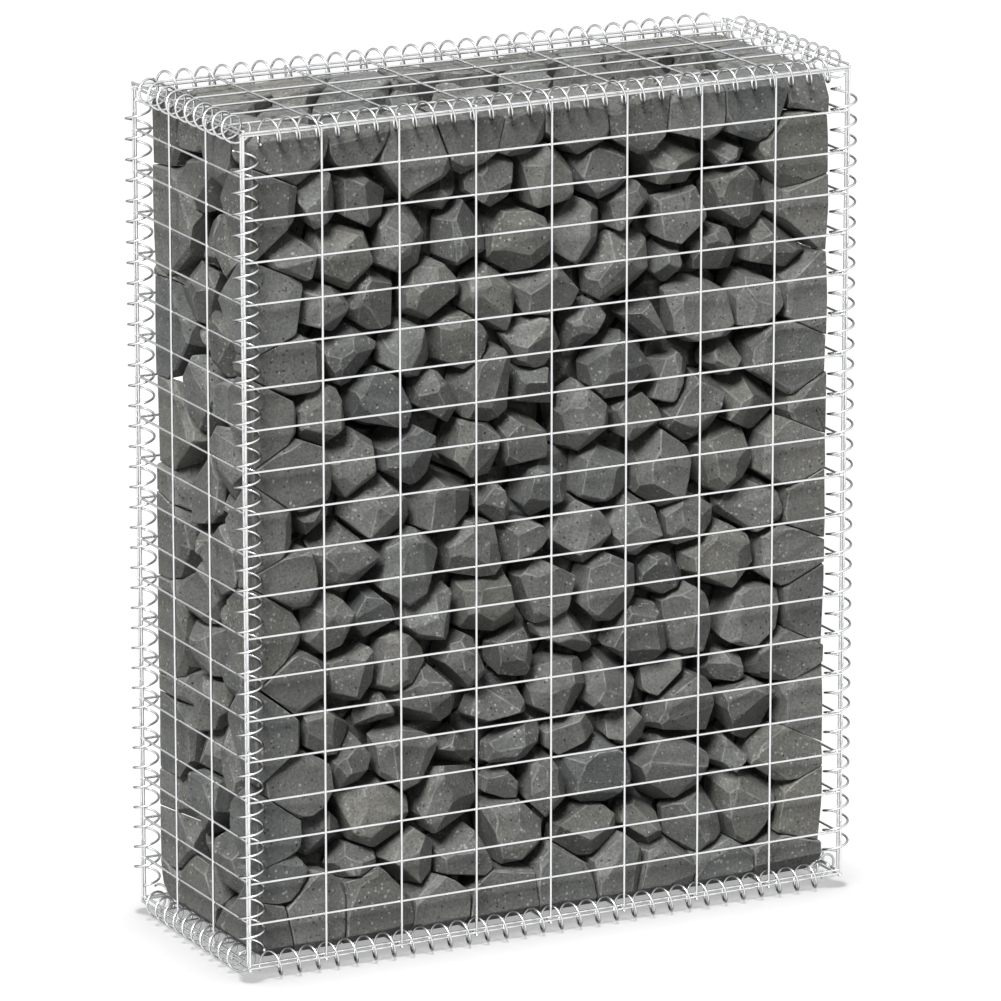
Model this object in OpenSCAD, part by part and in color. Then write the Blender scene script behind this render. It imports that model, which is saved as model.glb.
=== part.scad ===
// Free-standing gabion wall: six welded mesh panels joined by spiral binders along all
// twelve edges, holding a fill of broken basalt. Millimetres; the ground is z = 0, the
// wall's length runs along X, its front faces -Y and the origin is under its middle.

/* [Cage] */
// Mesh cells along the wall
cells_x = 8; // [4:1:12]
// Mesh cells through the wall
cells_y = 3; // [2:1:5]
// Mesh rows up the wall
rows = 20; // [8:1:24]
// Height of a mesh cell; its width is twice this
cell_h = 50; // [45:1:60]

/* [Mesh wire] */
// Diameter of the mesh wire
wire_d = 3; // [2.5:0.1:3.6]
// Depth by which two wires sink into each other at a weld
weld_sink = 0.4; // [0.2:0.1:0.8]
// Length of a trimmed wire end beyond the edge wire
wire_trim = 0.5; // [0.3:0.1:1]
// Gap left between one panel and the next
panel_gap = 0.3; // [0.2:0.05:0.6]

/* [Spirals] */
// Mean diameter of a spiral, measured square to the panels
spiral_d = 30; // [27:0.5:33]
// Diameter of the spiral wire
spiral_wire_d = 3; // [2.5:0.1:3.5]
// Distance of a spiral's axis inside the outer wires
spiral_inset = 4.5; // [4:0.1:5.5]
// Gap between a spiral and the mesh wires it is screwed up against
spiral_gap = 0.4; // [0.3:0.05:0.6]

/* [Stone fill] */
// Distance of the stones inside the outer wires
fill_inset = 16; // [15:1:24]
// Space left between the bevelled edges of the fill and the spirals
fill_clear = 1.5; // [1:0.5:6]
// Space left between the stones and the tops of the uprights
fill_headroom = 3; // [2:1:30]

/* [Hidden] */

cell_w = 2 * cell_h;
cage_w = cells_x * cell_w;
cage_d = cells_y * cell_w;
cage_h = rows * cell_h;

// Wire planes: uprights lie outside the cross wires they are welded to
layer = wire_d - weld_sink;
stub = wire_d / 2 + wire_trim;
// The end panels stand between the front and back panels' cross wires
end_inset = layer + wire_d / 2 + panel_gap + stub;
// The lid lies on the trimmed tops of the uprights; the base is the same, underneath
lid_step = stub + panel_gap + wire_d / 2;

// Spiral: half turns as tilted half rings, two whole turns to a mesh row
pitch = cell_h / 2;
coil_r = spiral_d / 2;
joint_r = sqrt(pow(coil_r, 2) - pow(pitch, 2) / 32);
arc_r = sqrt(pow(coil_r, 2) + pow(pitch, 2) / 32);
coil_tilt = asin(pitch / 4 / arc_r);
coil_reach = coil_r + spiral_wire_d / 2;
// Height of the lid spirals' axis over the top cross wires, and the same under the base
lid_axis = lid_step + layer - spiral_inset;

// Where a turn passes a mesh wire, measured along the spiral from the turn's inner side
function pass(a) = pitch / 4 * cos(atan2(joint_r, arc_r) - asin(a / coil_r));
spiral_seat = (wire_d + spiral_wire_d) / 2 + spiral_gap;
inner_shift = pass(spiral_inset - layer) - spiral_seat;
outer_shift = pass(spiral_inset) - spiral_seat;

// Bottom cross wires over the ground: the wall stands on its base spirals
base_z = coil_reach + lid_axis;

fill_w = cage_w - 2 * fill_inset;
fill_d = cage_d - 2 * fill_inset;
fill_floor = -stub - panel_gap;
fill_h = cage_h - fill_headroom - fill_floor;
lift_h = fill_h / 3;
// Bevels that keep the fill clear of the spirals at the corners, under the lid and at the foot
fill_apart = fill_inset - spiral_inset;
fill_reach = sqrt(2) * (coil_reach + fill_clear) - fill_apart;
corner_bevel = max(2, fill_reach - fill_apart);
top_bevel = max(2, fill_reach - fill_headroom - lid_axis);
foot_bevel = max(2, fill_reach - fill_floor - lid_axis);

// Wire positions across the wall, up it, through it, and on the narrower end panels
xs = [for (i = [0 : cells_x]) (i - cells_x / 2) * cell_w];
zs = [for (j = [0 : rows]) j * cell_h];
ys = [for (j = [0 : 2 * cells_y]) (j - cells_y) * cell_h];
end_ys = [
    for (i = [0 : cells_y])
        (i - cells_y / 2) * cell_w + (i == 0 ? end_inset : i == cells_y ? -end_inset : 0)
];

// Straight wire along Z, drawn with eight sides
module wire(from, to) {
    translate([0, 0, from])
        rotate(22.5)
            cylinder(d = wire_d / cos(22.5), h = to - from, $fn = 8);
}

// Welded mesh standing in XZ: uprights at y = 0, cross wires behind them
module mesh_panel(uprights, crosses) {
    last_u = uprights[len(uprights) - 1];
    last_c = crosses[len(crosses) - 1];
    for (x = uprights)
        translate([x, 0, 0])
            wire(crosses[0] - stub, last_c + stub);
    for (z = crosses)
        translate([0, layer, z])
            rotate([0, 90, 0])
                wire(uprights[0] - stub, last_u + stub);
}

// Sets its children n half turns on along a spiral, each turned about the end of the last,
// so that the half rings meet end to end exactly
module half_turns_on(n) {
    if (n < 1) children();
    else
        translate([-arc_r, 0, 0])
            rotate([0, 2 * coil_tilt, 180])
                translate([-arc_r, 0, 0])
                    half_turns_on(n - 1) children();
}

// Right-handed spiral along Z about the origin, wound as tilted half rings. Its middle half
// turn faces +Y.
module spiral(length) {
    reach = (length / pitch * 2 - 4) / 2;
    translate([0, 0, -reach * pitch / 2])
        rotate([0, coil_tilt, 180 * (reach % 2)])
            for (k = [0 : 2 * reach])
                half_turns_on(k)
                    rotate_extrude(angle = 180, $fn = 48)
                        translate([arc_r, 0])
                            circle(d = spiral_wire_d, $fn = 24);
}

// Corner spiral: side_x and side_y are the corner's signs, diagonal points into the cage
module corner_spiral(side_x, side_y, diagonal) {
    color("lightsteelblue")
        translate([
            side_x * (cage_w / 2 - spiral_inset),
            side_y * (cage_d / 2 - spiral_inset),
            base_z + cage_h / 2 + inner_shift
        ])
            rotate(diagonal - 90)
                spiral(cage_h);
}

// Spiral along the front or back of the lid or base
module long_spiral(side_y, z, diagonal) {
    color("lightsteelblue")
        translate([outer_shift, side_y * (cage_d / 2 - spiral_inset), base_z + z])
            rotate([90, 0, 90])
                rotate(diagonal - 90)
                    spiral(cage_w);
}

// Spiral along an end of the lid or base
module short_spiral(side_x, z, diagonal, seat) {
    color("lightsteelblue")
        translate([side_x * (cage_w / 2 - spiral_inset), seat * inner_shift, base_z + z])
            rotate([0, -90, -90])
                rotate(diagonal - 90)
                    spiral(cage_d);
}

module bevelled(w, h, low, high) {
    polygon([
        [-w / 2 + low, 0], [w / 2 - low, 0], [w / 2, low], [w / 2, h - high],
        [w / 2 - high, h], [-w / 2 + high, h], [-w / 2, h - high], [-w / 2, low]
    ]);
}

// The whole stone fill: a block bevelled along all twelve edges
module stone_block() {
    intersection() {
        translate([0, fill_d / 2, 0])
            rotate([90, 0, 0])
                linear_extrude(fill_d)
                    bevelled(fill_w, fill_h, foot_bevel, top_bevel);
        translate([-fill_w / 2, 0, 0])
            rotate([90, 0, 90])
                linear_extrude(fill_w)
                    bevelled(fill_d, fill_h, foot_bevel, top_bevel);
        translate([0, -fill_d / 2, 0])
            linear_extrude(fill_h)
                bevelled(fill_w, fill_d, corner_bevel, corner_bevel);
    }
}

// One of the three lifts in which the stone is laid, counted from the bottom
module stone_lift(n) {
    color("dimgray")
        translate([0, 0, base_z + fill_floor])
            intersection() {
                stone_block();
                translate([-fill_w, -fill_d, n * lift_h])
                    cube([2 * fill_w, 2 * fill_d, lift_h]);
            }
}

module front_panel() {
    color("silver")
        translate([0, -cage_d / 2, base_z])
            mesh_panel(xs, zs);
}

module back_panel() {
    color("silver")
        translate([0, cage_d / 2, base_z])
            rotate(180)
                mesh_panel(xs, zs);
}

module left_panel() {
    color("silver")
        translate([-cage_w / 2, 0, base_z])
            rotate(-90)
                mesh_panel(end_ys, zs);
}

module right_panel() {
    color("silver")
        translate([cage_w / 2, 0, base_z])
            rotate(90)
                mesh_panel(end_ys, zs);
}

module lid_panel() {
    color("silver")
        translate([0, 0, base_z + cage_h + lid_step + layer])
            rotate([-90, 0, 0])
                mesh_panel(xs, ys);
}

module base_panel() {
    color("silver")
        translate([0, 0, base_z - lid_step - layer])
            rotate([90, 0, 0])
                mesh_panel(xs, ys);
}

front_panel();
back_panel();
left_panel();
right_panel();
lid_panel();
base_panel();
corner_spiral(-1, -1, 45);  // spiral_front_left
corner_spiral(1, -1, 135);  // spiral_front_right
corner_spiral(-1, 1, 315);  // spiral_back_left
corner_spiral(1, 1, 225);  // spiral_back_right
long_spiral(-1, cage_h + lid_axis, 315);  // spiral_lid_front
long_spiral(1, cage_h + lid_axis, 225);  // spiral_lid_back
short_spiral(-1, cage_h + lid_axis, 135, 1);  // spiral_lid_left
short_spiral(1, cage_h + lid_axis, 225, -1);  // spiral_lid_right
long_spiral(-1, -lid_axis, 45);  // spiral_base_front
long_spiral(1, -lid_axis, 135);  // spiral_base_back
short_spiral(-1, -lid_axis, 45, -1);  // spiral_base_left
short_spiral(1, -lid_axis, 315, 1);  // spiral_base_right
stone_lift(0);  // stone_lift_low
stone_lift(1);  // stone_lift_mid
stone_lift(2);  // stone_lift_top
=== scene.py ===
import math

import bmesh
import bpy
import numpy as np
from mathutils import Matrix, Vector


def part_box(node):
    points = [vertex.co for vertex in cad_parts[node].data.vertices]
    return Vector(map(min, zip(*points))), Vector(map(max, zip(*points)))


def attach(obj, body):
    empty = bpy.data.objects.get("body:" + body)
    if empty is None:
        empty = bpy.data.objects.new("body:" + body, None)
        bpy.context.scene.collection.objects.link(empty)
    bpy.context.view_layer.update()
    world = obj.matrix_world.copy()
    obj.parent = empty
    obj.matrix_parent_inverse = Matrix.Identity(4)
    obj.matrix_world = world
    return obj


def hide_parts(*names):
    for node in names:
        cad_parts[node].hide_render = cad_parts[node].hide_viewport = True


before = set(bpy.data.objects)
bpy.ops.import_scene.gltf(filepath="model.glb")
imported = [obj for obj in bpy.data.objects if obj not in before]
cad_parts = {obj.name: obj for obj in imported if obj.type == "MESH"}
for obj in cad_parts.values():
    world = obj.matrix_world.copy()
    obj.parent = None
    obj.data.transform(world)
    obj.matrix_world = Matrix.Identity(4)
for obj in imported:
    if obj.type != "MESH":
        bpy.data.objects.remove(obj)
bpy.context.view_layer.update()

# Mesh panels: drawn steel wire, 3 mm thick, laid in a grid and resistance-welded at every crossing, then
# hot-dip galvanised. The uprights lie outside the cross wires, and the ends are cut just past the edge
# wires. The six panels stand just clear of each other; only the spiral binders hold them together.
wire_r = 0.0015
wire_sides = 10
cut_rim = 0.0004
rim_angle = math.radians(60)
smooth_angle = math.radians(40)
weld_sink = 0.0004
weld_r = 0.0023
weld_squash = 0.45
layer = 2 * wire_r - weld_sink
trim = wire_r + 0.0005
cell_w = 0.100
cell_h = 0.050
quarter_turn = math.pi / 2


def select_only(*pieces):
    bpy.ops.object.select_all(action="DESELECT")
    for piece in pieces:
        piece.select_set(True)
    bpy.context.view_layer.objects.active = pieces[0]


def join(pieces):
    select_only(*pieces)
    bpy.ops.object.join()
    return bpy.context.object


# Works a piece's place, turn and scale into its mesh.
def settle(piece):
    select_only(piece)
    bpy.ops.object.transform_apply(location=True, rotation=True, scale=True)


def repeat(piece, step, count):
    row = piece.modifiers.new("row", "ARRAY")
    row.use_relative_offset = False
    row.use_constant_offset = True
    row.constant_offset_displace = step
    row.count = count
    select_only(piece)
    bpy.ops.object.modifier_apply(modifier=row.name)


def cut_wire(length, at, turned):
    bpy.ops.mesh.primitive_cylinder_add(
        vertices=wire_sides, radius=wire_r, depth=length, location=at, rotation=turned
    )
    wire = bpy.context.object
    settle(wire)
    rim = wire.modifiers.new("cut rim", "BEVEL")
    rim.limit_method = "ANGLE"
    rim.angle_limit = rim_angle
    rim.width = cut_rim
    rim.segments = 1
    bpy.ops.object.modifier_apply(modifier=rim.name)
    return wire


# Links a socket to what feeds it, or sets it to a constant.
def feed(tree, value, socket):
    if isinstance(value, bpy.types.NodeSocket):
        tree.links.new(value, socket)
    else:
        socket.default_value = value


def grey(value):
    return (value, value, value)


def texture(tree, kind, scale, **settings):
    node = tree.nodes.new(kind)
    where = tree.nodes.new("ShaderNodeTexCoord").outputs["Object"]
    feed(tree, where, node.inputs["Vector"])
    feed(tree, scale, node.inputs["Scale"])
    for label, value in settings.items():
        feed(tree, value, node.inputs[label])
    return node.outputs


# Stops are (position, colour), lowest first.
def ramp(tree, value, *stops):
    node = tree.nodes.new("ShaderNodeValToRGB")
    elements = node.color_ramp.elements
    while len(elements) < len(stops):
        elements.new(0.5)
    for element, (position, colour) in zip(elements, stops):
        element.position = position
        element.color = (*colour, 1)
    feed(tree, value, node.inputs["Fac"])
    return node.outputs["Color"]


def blend(tree, how, amount, below, above):
    node = tree.nodes.new("ShaderNodeMix")
    node.data_type = "RGBA"
    node.blend_type = how
    feed(tree, amount, node.inputs["Factor"])
    feed(tree, below, node.inputs["A"])
    feed(tree, above, node.inputs["B"])
    return node.outputs["Result"]


def maths(tree, operation, *values):
    node = tree.nodes.new("ShaderNodeMath")
    node.operation = operation
    for value, socket in zip(values, node.inputs):
        feed(tree, value, socket)
    return node.outputs["Value"]


def new_group(name, takes, gives):
    group = bpy.data.node_groups.new(name, "ShaderNodeTree")
    for way, sockets in (("INPUT", takes), ("OUTPUT", gives)):
        for label, kind in sockets.items():
            group.interface.new_socket(label, in_out=way, socket_type=kind)
    given = group.nodes.new("NodeGroupInput").outputs
    result = group.nodes.new("NodeGroupOutput").inputs
    return group, given, result


def place_group(tree, group, **values):
    node = tree.nodes.new("ShaderNodeGroup")
    node.node_tree = group
    for label, value in values.items():
        feed(tree, value, node.inputs[label])
    return node.outputs


def new_material(name):
    material = bpy.data.materials.new(name)
    material.use_nodes = True
    tree = material.node_tree
    return material, tree, tree.nodes["Principled BSDF"].inputs


# Zinc skin: a pale grey coat with a fine spangle of crystals and a duller bloom in patches.
spangle_scale = 190.0
bloom_scale = 26.0
bloom_low, bloom_high = 0.3, 0.7
bloom_shade = 0.90
bloom_dullness = 0.08
spangle_shade = 0.84
spangle_reach = 0.8
spangle_share = 0.35
# Colour of the painted shade that darkens a wire towards its flanks.
painted_flank_shade = (0.20, 0.20, 0.21)
zinc_skin, given, result = new_group(
    "zinc_skin",
    {"Tint": "NodeSocketColor", "Dullness": "NodeSocketFloat"},
    {"Colour": "NodeSocketColor", "Roughness": "NodeSocketFloat"},
)
spangle = texture(zinc_skin, "ShaderNodeTexVoronoi", spangle_scale)["Distance"]
bloom = texture(zinc_skin, "ShaderNodeTexNoise", bloom_scale, Detail=3.0)["Fac"]
bloomed = ramp(zinc_skin, bloom, (bloom_low, grey(bloom_shade)), (bloom_high, grey(1.0)))
spangled = ramp(zinc_skin, spangle, (0.0, grey(1.0)), (spangle_reach, grey(spangle_shade)))
shade = blend(zinc_skin, "MIX", spangle_share, bloomed, spangled)
feed(zinc_skin, blend(zinc_skin, "MULTIPLY", 1.0, shade, given["Tint"]), result["Colour"])
dulled = zinc_skin.nodes.new("ShaderNodeMapRange")
feed(zinc_skin, bloom, dulled.inputs["Value"])
dulled.inputs["From Min"].default_value = bloom_low
dulled.inputs["From Max"].default_value = bloom_high
dulled.inputs["To Min"].default_value = -bloom_dullness
dulled.inputs["To Max"].default_value = bloom_dullness
zinc_roughness = maths(zinc_skin, "ADD", given["Dullness"], dulled.outputs["Result"])
feed(zinc_skin, zinc_roughness, result["Roughness"])


# Round wire darkens from its core to its edge: painted shade that stands in for a dark reflection of what
# stands beside it at its flanks.
def galvanised(name, tint, dullness, core, edge):
    material, tree, surface = new_material(name)
    skin = place_group(tree, zinc_skin, Tint=(*tint, 1), Dullness=dullness)
    # Painted shade: the base colour darkens as the wire's surface turns away from the view.
    facing = tree.nodes.new("ShaderNodeLayerWeight").outputs["Facing"]
    painted_flank = ramp(tree, facing, (core, grey(1.0)), (edge, painted_flank_shade))
    feed(tree, blend(tree, "MULTIPLY", 1.0, skin["Colour"], painted_flank), surface["Base Color"])
    feed(tree, skin["Roughness"], surface["Roughness"])
    feed(tree, 1.0, surface["Metallic"])
    return material


mesh_zinc = galvanised("galvanised_mesh", tint=(0.95, 0.955, 0.96), dullness=0.30, core=0.32, edge=0.76)


# A panel is welded standing in XZ with its uprights at y = 0, and then set in its place. A run of wires is
# its first position, its spacing and its number of wires.
def welded_panel(name, node, upright_runs, cross_run, at, turned):
    first_c, step_c, count_c = cross_run
    last_c = first_c + step_c * (count_c - 1)
    first_u = min(first for first, step, count in upright_runs)
    last_u = max(first + step * (count - 1) for first, step, count in upright_runs)
    height = last_c - first_c + 2 * trim
    width = last_u - first_u + 2 * trim
    cross = cut_wire(width, ((first_u + last_u) / 2, layer, first_c), (0, quarter_turn, 0))
    repeat(cross, (0, 0, step_c), count_c)
    wires = [cross]
    for first, step, count in upright_runs:
        upright = cut_wire(height, (first, 0, (first_c + last_c) / 2), (0, 0, 0))
        repeat(upright, (step, 0, 0), count)
        bpy.ops.mesh.primitive_ico_sphere_add(
            subdivisions=1, radius=weld_r, location=(first, layer / 2, first_c)
        )
        weld = bpy.context.object
        weld.scale = (1.0, weld_squash, 1.0)
        settle(weld)
        repeat(weld, (step, 0, 0), count)
        repeat(weld, (0, 0, step_c), count_c)
        wires += [upright, weld]
    panel = join(wires)
    panel.name = name
    panel.location = at
    panel.rotation_euler = turned
    settle(panel)
    bpy.ops.object.shade_smooth_by_angle(angle=smooth_angle)
    panel.data.materials.append(mesh_zinc)
    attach(panel, "root")
    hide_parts(node)


wall_low, wall_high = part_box("front_panel")
lid_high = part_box("lid_panel")[1]
base_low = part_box("base_panel")[0]
half_w = wall_high.x - trim
half_d = lid_high.y - trim
end_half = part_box("left_panel")[1].y - trim
wall_z = wall_low.z + trim
cage_h = wall_high.z - trim - wall_z

wall_uprights = [(-half_w, cell_w, round(2 * half_w / cell_w) + 1)]
wall_crosses = (0.0, cell_h, round(cage_h / cell_h) + 1)
end_uprights = [(-end_half, 2 * end_half, 2), (-cell_w / 2, cell_w, 2)]
flat_crosses = (-half_d, cell_h, round(2 * half_d / cell_h) + 1)
for side, uprights, crosses, at, turned in (
    ("front", wall_uprights, wall_crosses, (0, -half_d, wall_z), (0, 0, 0)),
    ("back", wall_uprights, wall_crosses, (0, half_d, wall_z), (0, 0, math.pi)),
    ("left", end_uprights, wall_crosses, (-half_w, 0, wall_z), (0, 0, -quarter_turn)),
    ("right", end_uprights, wall_crosses, (half_w, 0, wall_z), (0, 0, quarter_turn)),
    ("lid", wall_uprights, flat_crosses, (0, 0, lid_high.z - wire_r), (-quarter_turn, 0, 0)),
    ("base", wall_uprights, flat_crosses, (0, 0, base_low.z + wire_r), (quarter_turn, 0, 0)),
):
    welded_panel(side + "_mesh", side + "_panel", uprights, crosses, at, turned)

# Spiral binders: 3 mm galvanised wire wound into open right-handed coils, two turns to a mesh row. Each is
# screwed along an edge through both panels; it takes in the pair of edge wires and holds the panels shut.
# Each stops short of its corners, so that the three that meet there stay clear of each other.
coil_wire_r = 0.0015
coil_wire_sides = 8
coil_r = 0.015
pitch = 0.025
coil_inset = 0.0045
steps_per_turn = 20
half_turns_short = 3
corner_x = half_w - coil_inset
corner_y = half_d - coil_inset
coil_zinc = galvanised("galvanised_spiral", tint=(0.88, 0.885, 0.89), dullness=0.28, core=0.18, edge=0.60)


# The coil is wound along Z with its middle turn facing the inside of the corner, then laid along its edge.
def binder(name, node, length, diagonal, at, laid):
    half_turns = round(2 * length / pitch) - half_turns_short
    rise = half_turns * pitch / 2
    bpy.ops.mesh.primitive_circle_add(
        vertices=coil_wire_sides,
        radius=coil_wire_r,
        location=(coil_r, 0, -rise / 2),
        rotation=(quarter_turn, 0, 0),
    )
    coil = bpy.context.object
    coil.name = name
    settle(coil)
    wind = coil.modifiers.new("wind", "SCREW")
    wind.axis = "Z"
    wind.angle = math.pi * half_turns
    wind.screw_offset = rise
    wind.iterations = 1
    wind.steps = half_turns * steps_per_turn // 2
    wind.render_steps = wind.steps
    wind.use_smooth_shade = True
    bpy.ops.object.modifier_apply(modifier=wind.name)
    bpy.ops.object.mode_set(mode="EDIT")
    bpy.ops.mesh.select_all(action="SELECT")
    bpy.ops.mesh.fill_holes(sides=0)
    bpy.ops.mesh.select_all(action="SELECT")
    bpy.ops.mesh.normals_make_consistent(inside=False)
    bpy.ops.object.mode_set(mode="OBJECT")
    coil.rotation_euler = (0, 0, math.radians(diagonal - 90 * half_turns))
    settle(coil)
    coil.rotation_euler = laid
    coil.location = at
    settle(coil)
    coil.data.materials.append(coil_zinc)
    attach(coil, "root")
    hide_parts(node)


def middle_z(node):
    low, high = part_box(node)
    return (low.z + high.z) / 2


standing = (0, 0, 0)
along_x = (quarter_turn, 0, quarter_turn)
along_y = (0, -quarter_turn, -quarter_turn)
long_shift = 0.0008
mid_z = wall_z + cage_h / 2
base_axis = middle_z("spiral_base_front")
lid_axis = middle_z("spiral_lid_front")
for edge, side_x, side_y, diagonal in (
    ("front_left", -1, -1, 45),
    ("front_right", 1, -1, 135),
    ("back_right", 1, 1, 225),
    ("back_left", -1, 1, 315),
):
    at = (side_x * corner_x, side_y * corner_y, mid_z)
    binder("binder_" + edge, "spiral_" + edge, cage_h, diagonal, at, standing)
for edge, side_y, z, diagonal in (
    ("base_front", -1, base_axis, 45),
    ("base_back", 1, base_axis, 135),
    ("lid_back", 1, lid_axis, 225),
    ("lid_front", -1, lid_axis, 315),
):
    at = (long_shift, side_y * corner_y, z)
    binder("binder_" + edge, "spiral_" + edge, 2 * half_w, diagonal, at, along_x)
for edge, side_x, z, diagonal in (
    ("base_left", -1, base_axis, 45),
    ("lid_left", -1, lid_axis, 135),
    ("lid_right", 1, lid_axis, 225),
    ("base_right", 1, base_axis, 315),
):
    at = (side_x * corner_x, 0, z)
    binder("binder_" + edge, "spiral_" + edge, 2 * half_d, diagonal, at, along_y)

# Stone fill: broken basalt, 40 to 100 mm, hand-laid with a flat side outwards and bedded on the stones
# below. Each stone is split out of a block: first where it meets its neighbours, then along its own
# fracture planes, and its arrises are knocked blunt.
rng = np.random.default_rng(11)
fill_low = np.array(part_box("stone_lift_low")[0])
fill_high = np.array(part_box("stone_lift_top")[1])
along, through, courses = 10, 4, 16
bed = (fill_high - fill_low) / (along, through, courses)
stagger = (0.25, 0.75)
drift = (0.28, 0.14, 0.24)
hearts = np.array([
    (i + stagger[(k + j) % 2], j + 0.5, k + 0.5)
    for k in range(courses) for j in range(through) for i in range(along)
])
hearts = fill_low + (hearts + rng.uniform(-1, 1, hearts.shape) * drift) * bed
stone_count = len(hearts)
small_share = 0.28
is_small = rng.random(stone_count) < small_share
small_girth = rng.uniform(0.018, 0.028, stone_count)
large_girth = rng.uniform(0.033, 0.044, stone_count)
girth = np.where(is_small, small_girth, large_girth)

# The stones settle by pushing apart where they crowd each other.
shakes = 14
crowding = 0.86
shove_share = 0.25
heart_depth = 0.020
for _ in range(shakes):
    apart = hearts[:, None] - hearts[None]
    far = np.linalg.norm(apart, axis=2) + np.eye(stone_count)
    shove = np.clip((girth[:, None] + girth[None]) * crowding - far, 0, None) * shove_share
    np.fill_diagonal(shove, 0)
    hearts += (apart / far[..., None] * shove[..., None]).sum(1)
    hearts = np.clip(hearts, fill_low + heart_depth, fill_high - heart_depth)

# Quoins are the stones that own a piece of the fill's edges; they are laid tighter and flusher than others.
ticks_per_edge = 90
ticks = np.meshgrid(*[np.linspace(0, 1, ticks_per_edge)] * 3, indexing="ij")
ticks = np.stack(ticks, -1).reshape(-1, 3)
edge_points = fill_low + ticks[np.isin(ticks, (0, 1)).sum(1) > 1] * (fill_high - fill_low)
quoins = set((((edge_points[:, None] - hearts) ** 2).sum(2) - girth ** 2).argmin(1).tolist())
quoin_roughness = 0.30

# The planes that hold the stones in: the six sides of the fill, and a slope inside each of the coils. Each
# is an outward normal and its height along that normal.
cage_faces = [
    (normal, float(normal @ np.where(normal > 0, fill_high, fill_low)))
    for normal in np.vstack([np.eye(3), -np.eye(3)])
]
coil_gap = 0.0015
coil_space = coil_r + coil_wire_r + coil_gap
sides = (-1.0, 1.0)
levels = ((-1.0, base_axis), (1.0, lid_axis))
coil_axes = [
    ((side_x, side_y, 0.0), (side_x * corner_x, side_y * corner_y, 0.0))
    for side_x in sides for side_y in sides
]
coil_axes += [
    ((0.0, side_y, side_z), (0.0, side_y * corner_y, z))
    for side_y in sides for side_z, z in levels
]
coil_axes += [
    ((side_x, 0.0, side_z), (side_x * corner_x, 0.0, z))
    for side_x in sides for side_z, z in levels
]
coil_slopes = [
    (np.array(outward) / math.sqrt(2), float(np.array(outward) @ axis) / math.sqrt(2) - coil_space)
    for outward, axis in coil_axes
]


def unit(vector):
    return vector / np.linalg.norm(vector)


def corners_of(stone):
    return np.array([corner.co for corner in bmesh.from_edit_mesh(stone.data).verts])


hair = 1e-6


# Splits off what lies above a plane, unless it is less than a hair.
def split(stone, normal, height):
    if (corners_of(stone) @ normal).max() > height + hair:
        bpy.ops.mesh.select_all(action="SELECT")
        bpy.ops.mesh.bisect(plane_co=normal * height, plane_no=normal, use_fill=True, clear_outer=True)


# Knocks a corner off: the split goes in by a set depth from the stone's furthest point, and stops short of
# the corners that are to be kept.
def spall(stone, normal, depth, kept=()):
    height = float((corners_of(stone) @ normal).max()) - depth
    split(stone, normal, max([height] + [float(corner @ normal) for corner in kept]))


# Parts a stone from those around it: the thicker of two keeps more of the space between them, and the joint
# is closest where a stone is bedded on the one below.
neighbour_count = 19
bedded_under = -0.6
bed_joint = (0.0002, 0.0010)
side_joint = (0.0018, 0.0058)


def part(stone, number, roughness):
    heart = hearts[number]
    far = np.linalg.norm(hearts - heart, axis=1)
    around = []
    for other in np.argsort(far)[1:neighbour_count + 1]:
        toward = (hearts[other] - heart) / far[other]
        joint = rng.uniform(*(bed_joint if toward[2] < bedded_under else side_joint)) * roughness
        share = (far[other] ** 2 + girth[number] ** 2 - girth[other] ** 2) / (2 * far[other])
        split(stone, toward, float(toward @ heart) + share - joint)
        around.append(toward)
    return around


# Dresses the sides that show through the mesh: each is nearly flat, leans a little, and some lie back.
face_reach = 0.006
face_lean, foot_lean = 0.15, 0.02
sunk_on_top, sunk_on_sides = 0.40, 0.24
sunk_depth = (0.005, 0.014)
flush_depth = (0.0, 0.003)


def dress(stone, heart, roughness):
    reach = corners_of(stone)
    shown = []
    for normal, height in cage_faces:
        if (reach @ normal).max() > height - face_reach:
            at_foot = normal[2] < 0
            lean = rng.normal(0, foot_lean if at_foot else face_lean, 3)
            lean = lean * (1 - np.abs(normal)) * roughness
            sunk = rng.random() < (sunk_on_top if normal[2] > 0 else sunk_on_sides)
            depth = rng.uniform(*(sunk_depth if sunk else flush_depth))
            depth *= 0 if at_foot else roughness ** 2
            dressed = unit(normal + lean)
            middle = heart + normal * (height - depth - normal @ heart)
            split(stone, normal, height)
            split(stone, dressed, float(dressed @ middle))
            shown.append((normal, height))
    return shown


# Cuts a stone back from the coils, and chips it there along the front and back edges.
lid_front_chip = (0.004, 0.014)
other_chip = (0.001, 0.006)
chip_waver = 0.28


def clear_coils(stone):
    for normal, height in coil_slopes:
        if (corners_of(stone) @ normal).max() > height:
            split(stone, normal, height)
            if normal[1] and normal[2]:
                at_lid_front = normal[2] > 0 > normal[1]
                depth = rng.uniform(*(lid_front_chip if at_lid_front else other_chip))
                spall(stone, unit(normal + rng.normal(0, chip_waver, 3)), depth)


# Breaks a shown side down to a rough facet: blows all round it, then slanting ones towards its neighbours.
# Where a stone makes an arris of the fill, the blows are light and its arris is kept.
arris_reach = 0.024
light_blow = 0.4
blows = 5
blow_waver = 0.35
blow_slant = (-0.10, 0.45)
blow_depth = (0.006, 0.018)
slanting_share = 0.62
slanting_degrees = (26, 56)
slanting_depth = (0.003, 0.016)
slanting_neighbours = 12
beside = 0.5
askew = (0.31, 0.52, 0.79)


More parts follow.
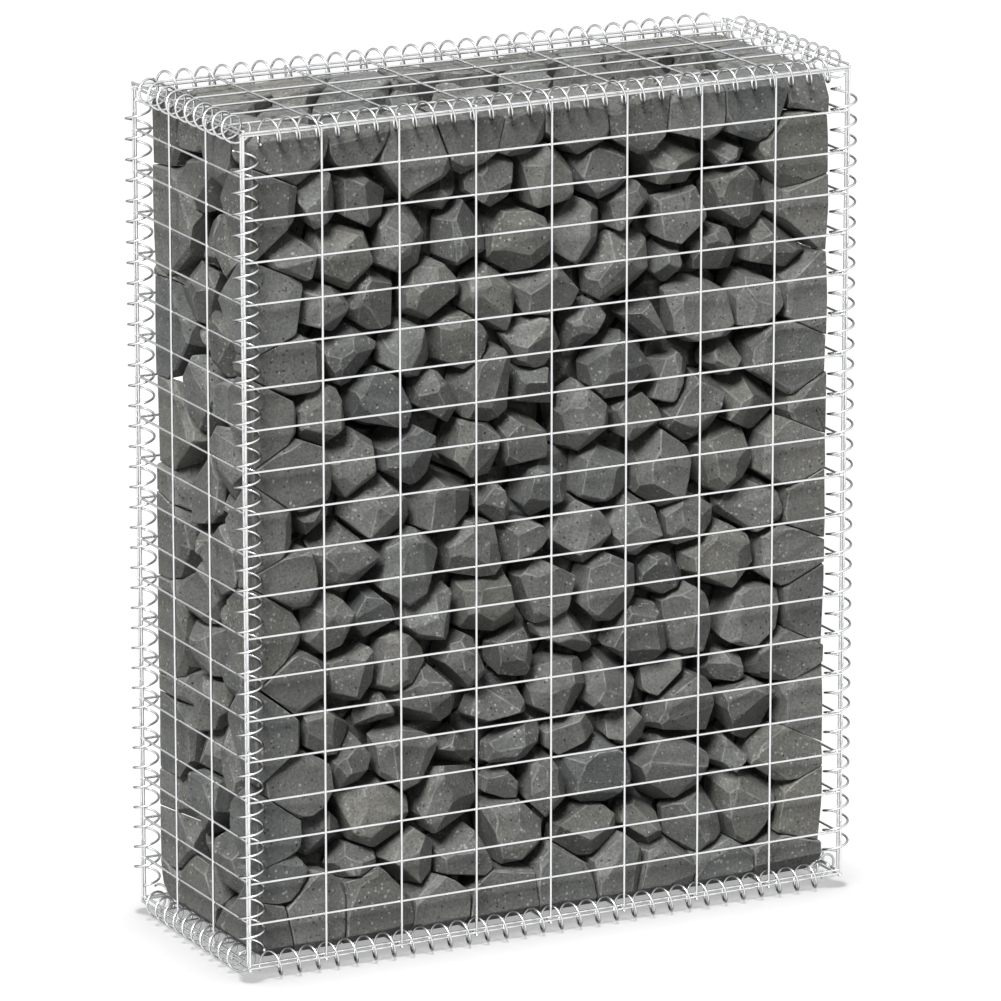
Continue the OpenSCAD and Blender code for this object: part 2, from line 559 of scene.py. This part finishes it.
def break_down(stone, shown, around):
    arris = [
        corner for corner in corners_of(stone)
        if sum(corner @ normal > height - arris_reach for normal, height in shown) > 1
    ]
    force = light_blow if arris else 1.0
    for normal, _ in shown:
        side = unit(np.cross(normal, askew))
        rise = np.cross(normal, side)
        start = rng.uniform(0, 2 * math.pi)
        for blow in range(blows):
            turn = start + 2 * math.pi / blows * (blow + rng.uniform(-blow_waver, blow_waver))
            slant = rng.uniform(*blow_slant)
            struck = unit(side * math.cos(turn) + rise * math.sin(turn) + normal * slant)
            spall(stone, struck, rng.uniform(*blow_depth) * force, arris)
        for toward in around[:slanting_neighbours]:
            if abs(toward @ normal) < beside and rng.random() < slanting_share:
                slope = math.radians(rng.uniform(*slanting_degrees))
                across = unit(toward - (toward @ normal) * normal)
                slanting = normal * math.cos(slope) + across * math.sin(slope)
                spall(stone, slanting, rng.uniform(*slanting_depth) * force, arris)


# Blunts the sharp arrises of the stone that is being edited; their faces take its second material.
shortest_edge = 0.0024
sharp_angle = math.radians(34)
blunting = 0.0012
arris_slot = 1


def blunt():
    bpy.ops.mesh.select_all(action="SELECT")
    bpy.ops.mesh.remove_doubles(threshold=shortest_edge)
    bpy.ops.mesh.select_all(action="SELECT")
    bpy.ops.mesh.normals_make_consistent(inside=False)
    bpy.ops.mesh.select_mode(type="EDGE")
    bpy.ops.mesh.select_all(action="DESELECT")
    bpy.ops.mesh.edges_select_sharp(sharpness=sharp_angle)
    bpy.ops.mesh.bevel(
        offset=blunting, segments=1, affect="EDGES", clamp_overlap=True, material=arris_slot
    )


# Round dots in some of the cells of a Voronoi pattern. A cell has one where its own number and the luck of
# its stone come to more than the rarity, and some dots are smaller than others.
dot_onset = 0.02
dot_core = 0.6
least_shrink, shrink_range = 0.7, 1.6


def dots(tree, scale, size, rarity, luck):
    cells = texture(tree, "ShaderNodeTexVoronoi", scale)
    own = tree.nodes.new("ShaderNodeSeparateColor")
    feed(tree, cells["Color"], own.inputs["Color"])
    pick = maths(tree, "ADD", own.outputs["Red"], luck)
    chosen = ramp(tree, pick, (rarity, grey(0.0)), (rarity + dot_onset, grey(1.0)))
    shrink = maths(tree, "MULTIPLY_ADD", own.outputs["Green"], shrink_range, least_shrink)
    from_middle = maths(tree, "MULTIPLY", cells["Distance"], shrink)
    disc = ramp(tree, from_middle, (size * dot_core, grey(1.0)), (size, grey(0.0)))
    return maths(tree, "MULTIPLY", chosen, disc)


# Basalt: dark grey with olive and blue casts from stone to stone, a fine open grain, small gas pits darkened
# with painted shade, pale mineral specks, and paler bruises on the arrises where the stones were broken and
# tipped, which also serve as a painted highlight along the edges.
grain_scale = 300.0
cloud_scale = 34.0
bruise_and_highlight_scale = 70.0
pit_shade = (0.35, 0.35, 0.36, 1)
speck_colour = (0.40, 0.40, 0.37, 1)
bruise_and_highlight_colour = (0.32, 0.32, 0.31, 1)
most_luck = 0.30
grain_depth = 0.0014
tones = ((0.0, (0.140, 0.142, 0.139)), (0.5, (0.172, 0.173, 0.168)), (1.0, (0.212, 0.211, 0.204)))
casts = ((0.0, (1.03, 1.02, 0.95)), (0.5, (1.0, 1.0, 0.98)), (1.0, (0.97, 1.0, 1.0)))
grain_shades = ((0.30, grey(0.50)), (0.70, grey(1.50)))
cloud_shades = ((0.30, (0.86, 0.87, 0.88)), (0.70, (1.10, 1.10, 1.08)))
rock, given, result = new_group(
    "basalt_rock",
    {"Bruise": "NodeSocketFloat"},
    {"Colour": "NodeSocketColor", "Height": "NodeSocketFloat"},
)
stone_mix = rock.nodes.new("ShaderNodeAttribute")
stone_mix.attribute_name = "stone_mix"
mixed = rock.nodes.new("ShaderNodeSeparateColor")
feed(rock, stone_mix.outputs["Color"], mixed.inputs["Color"])
speck_luck = maths(rock, "MULTIPLY", mixed.outputs["Green"], most_luck)
grain = texture(rock, "ShaderNodeTexNoise", grain_scale, Detail=5.0, Roughness=0.75)["Fac"]
cloud = texture(rock, "ShaderNodeTexNoise", cloud_scale, Detail=3.0)["Fac"]
bruise_and_highlight = texture(rock, "ShaderNodeTexNoise", bruise_and_highlight_scale, Detail=3.0)["Fac"]
# Gas pits: their dark colour is painted shade in the hollows, and they are also dented in the height.
pits = dots(rock, scale=240.0, size=0.32, rarity=0.74, luck=0.0)
specks = dots(rock, scale=230.0, size=0.44, rarity=0.96, luck=speck_luck)
patches = ramp(rock, bruise_and_highlight, (0.36, grey(0.0)), (0.60, grey(1.0)))
bruised_and_highlit = maths(rock, "MULTIPLY", patches, given["Bruise"])
colour = ramp(rock, mixed.outputs["Red"], *tones)
for shades in (
    ramp(rock, mixed.outputs["Blue"], *casts),
    ramp(rock, grain, *grain_shades),
    ramp(rock, cloud, *cloud_shades),
):
    colour = blend(rock, "MULTIPLY", 1.0, colour, shades)
# Painted shade darkens the pits.
colour = blend(rock, "MULTIPLY", pits, colour, pit_shade)
colour = blend(rock, "MIX", specks, colour, speck_colour)
# The paler arris colour is partly bruising and partly a painted highlight along the stone edges.
feed(rock, blend(rock, "MIX", bruised_and_highlit, colour, bruise_and_highlight_colour), result["Colour"])
feed(rock, maths(rock, "SUBTRACT", grain, pits), result["Height"])


def basalt(name, bruise_and_highlight):
    material, tree, surface = new_material(name)
    look = place_group(tree, rock, Bruise=bruise_and_highlight)
    feed(tree, look["Colour"], surface["Base Color"])
    feed(tree, 0.68, surface["Roughness"])
    feed(tree, 0.35, surface["Specular IOR Level"])
    bump = tree.nodes.new("ShaderNodeBump")
    feed(tree, 0.8, bump.inputs["Strength"])
    feed(tree, grain_depth, bump.inputs["Distance"])
    feed(tree, look["Height"], bump.inputs["Height"])
    feed(tree, bump.outputs["Normal"], surface["Normal"])
    return material


# The arris copy is paler: bruised edges that also act as a painted highlight.
stone_face = basalt("basalt_face", bruise_and_highlight=0.0)
stone_arris = basalt("basalt_arris", bruise_and_highlight=0.75)
block_size = 0.150


def split_stone(number):
    heart = hearts[number]
    roughness = quoin_roughness if number in quoins else 1.0
    bpy.ops.mesh.primitive_cube_add(size=block_size, location=heart)
    stone = bpy.context.object
    settle(stone)
    stone.data.materials.append(stone_face)
    stone.data.materials.append(stone_arris)
    bpy.ops.object.mode_set(mode="EDIT")
    around = part(stone, number, roughness)
    shown = dress(stone, heart, roughness)
    clear_coils(stone)
    break_down(stone, shown, around)
    if shown:
        blunt()
    bpy.ops.object.mode_set(mode="OBJECT")
    mix = (rng.uniform(0, 1), rng.uniform(0, 1), rng.uniform(0, 1), 1.0)
    own = stone.data.attributes.new("stone_mix", "FLOAT_COLOR", "POINT")
    own.data.foreach_set("color", np.tile(np.array(mix, np.float32), len(stone.data.vertices)))
    return stone


# The stones are laid course by course, and each belongs to the lift in which its heart lies.
lift_tops = [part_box("stone_lift_low")[1].z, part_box("stone_lift_mid")[1].z]
lifts = {"low": [], "mid": [], "top": []}
for course in np.array_split(np.argsort(hearts[:, 2], kind="stable"), courses):
    laid = {}
    for number in course:
        lift_name = list(lifts)[sum(hearts[number][2] > top for top in lift_tops)]
        laid.setdefault(lift_name, []).append(split_stone(number))
    for lift_name, stones in laid.items():
        lifts[lift_name].append(join(stones))
stone_lifts = []
for lift_name, stones in lifts.items():
    lift = join(stones)
    lift.name = "stones_" + lift_name
    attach(lift, "root")
    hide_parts("stone_lift_" + lift_name)
    stone_lifts.append(lift)

# Studio: a seamless white floor and background. A broad key lamp stands at the upper left, a weak lamp
# behind the wall reaches only the stones, and an overhead lamp lays the wall's soft shadow on the floor.
floor_size = 80.0
floor_glow = 0.40
world_fill = 0.09
lamp_distance = 5.0
bpy.ops.mesh.primitive_plane_add(size=floor_size, location=(0, 0, 0))
floor = bpy.context.object
floor.name = "floor"
floor.visible_diffuse = False


# White shows to the camera and in the metal. Other rays meet only a dim sky and no glow from the floor.
def seen(tree):
    rays = tree.nodes.new("ShaderNodeLightPath").outputs
    straight_or_mirrored = maths(tree, "MAXIMUM", rays["Is Camera Ray"], rays["Is Glossy Ray"])
    return maths(tree, "MAXIMUM", straight_or_mirrored, rays["Is Transmission Ray"])


paper, tree, surface = new_material("white_paper")
feed(tree, (*grey(0.80), 1), surface["Base Color"])
feed(tree, 0.9, surface["Roughness"])
feed(tree, 0.0, surface["Specular IOR Level"])
feed(tree, (*grey(1.0), 1), surface["Emission Color"])
feed(tree, maths(tree, "MULTIPLY", seen(tree), floor_glow), surface["Emission Strength"])
floor.data.materials.append(paper)

world = bpy.data.worlds.new("studio")
bpy.context.scene.world = world
world.use_nodes = True
tree = world.node_tree
background = tree.nodes["Background"].inputs
level = tree.nodes.new("ShaderNodeMix")
feed(tree, seen(tree), level.inputs["Factor"])
feed(tree, world_fill, level.inputs["A"])
feed(tree, 1.0, level.inputs["B"])
feed(tree, level.outputs["Result"], background["Strength"])
feed(tree, (*grey(1.0), 1), background["Color"])


# A sun-like lamp in the given direction from the wall, with a list of the pieces that it lights.
def lamp(name, energy, spread, toward, linked):
    aim = unit(np.array(toward))
    bpy.ops.object.light_add(
        type="SUN",
        location=aim * lamp_distance,
        rotation=(math.acos(aim[2]), 0, math.atan2(aim[1], aim[0]) + quarter_turn),
    )
    sun = bpy.context.object
    sun.name = name
    sun.data.energy = energy
    sun.data.angle = math.radians(spread)
    receivers = bpy.data.collections.new("linked_to_" + name)
    for piece in linked:
        receivers.objects.link(piece)
    sun.light_linking.receiver_collection = receivers
    return receivers


# The key's list is turned round: it lights everything but the floor.
key_receivers = lamp("key", energy=4.2, spread=22, toward=(-0.50, -0.50, 0.71), linked=[floor])
key_receivers.collection_objects[0].light_linking.link_state = "EXCLUDE"
lamp("back_fill", energy=1.9, spread=40, toward=(0.52, 0.85, 0.10), linked=stone_lifts)
lamp("overhead", energy=2.45, spread=12, toward=(0.0, 0.0, 1.0), linked=[floor])

# Camera: a long lens from the left and a little above, tilted down to frame the wall as the photograph
# does. Its place is measured from the foot of the mesh at the front left corner, its focal length in pixels.
azimuth = math.radians(27.444)
elevation = math.radians(15.184)
from_corner = (-3.8166, -7.9888, 2.9703)
focal_px = 7908
picture_px = 1001
sensor_mm = 36.0
camera_reach = 200.0
bpy.ops.object.camera_add(
    location=(from_corner[0] - half_w, from_corner[1] - half_d, from_corner[2] + wall_z),
    rotation=(quarter_turn - elevation, 0, -azimuth),
)
camera = bpy.context.object
camera.data.sensor_width = sensor_mm
camera.data.lens = focal_px / picture_px * sensor_mm
camera.data.clip_end = camera_reach
bpy.context.scene.camera = camera
bpy.context.scene.view_settings.view_transform = "Standard"
